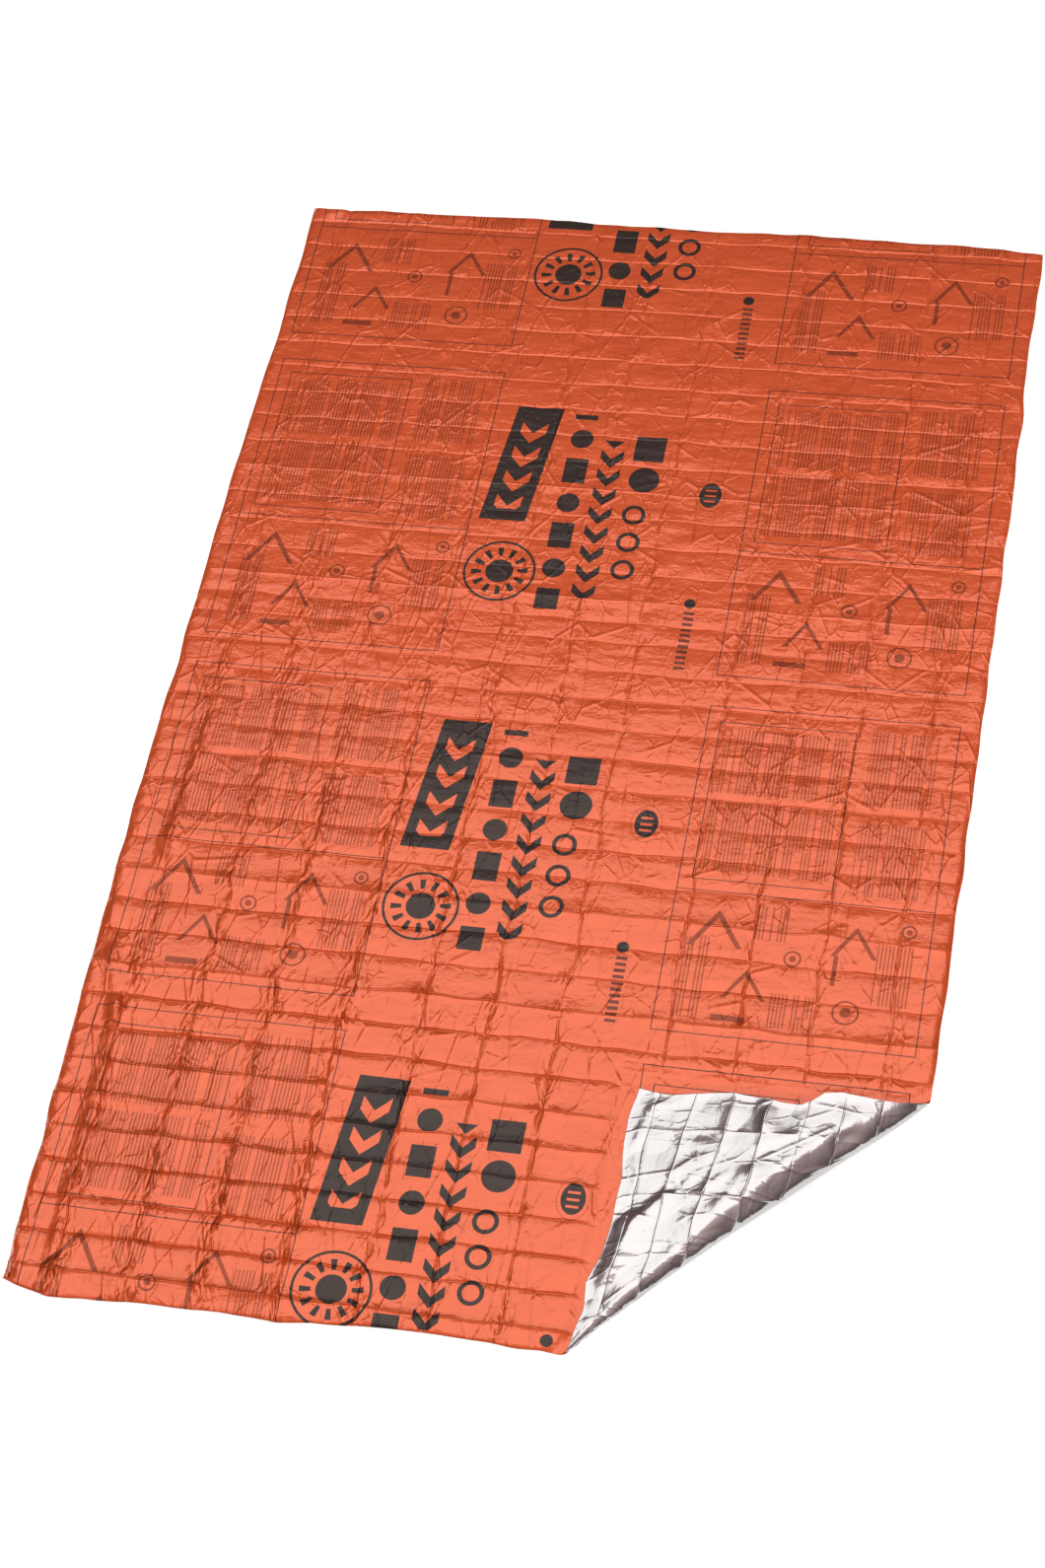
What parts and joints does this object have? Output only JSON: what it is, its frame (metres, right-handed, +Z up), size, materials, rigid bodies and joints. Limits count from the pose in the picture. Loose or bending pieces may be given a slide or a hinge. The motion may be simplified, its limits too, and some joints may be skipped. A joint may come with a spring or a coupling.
{
  "type": "emergency foil blanket",
  "caption": "Thin metallised film blanket, orange on one face and silver on the other, opened flat with its fold creases and one corner turned back in a loose roll.",
  "frame": {"origin": "middle of the blanket's bounding box, on the floor it lies on", "axes": "+Y along the blanket's length, away from the turned corner's end; +X across its width, towards the turned corner's side; +Z up, out of the orange face"},
  "size_m": [1.5286, 2.457, 0.0476],
  "materials": {
    "foil": "metallised polyethylene film, glossy orange print above and bright silver below"
  },
  "bodies": {
    "root": {"foil_sheet": "foil"}
  },
  "joints": []
}
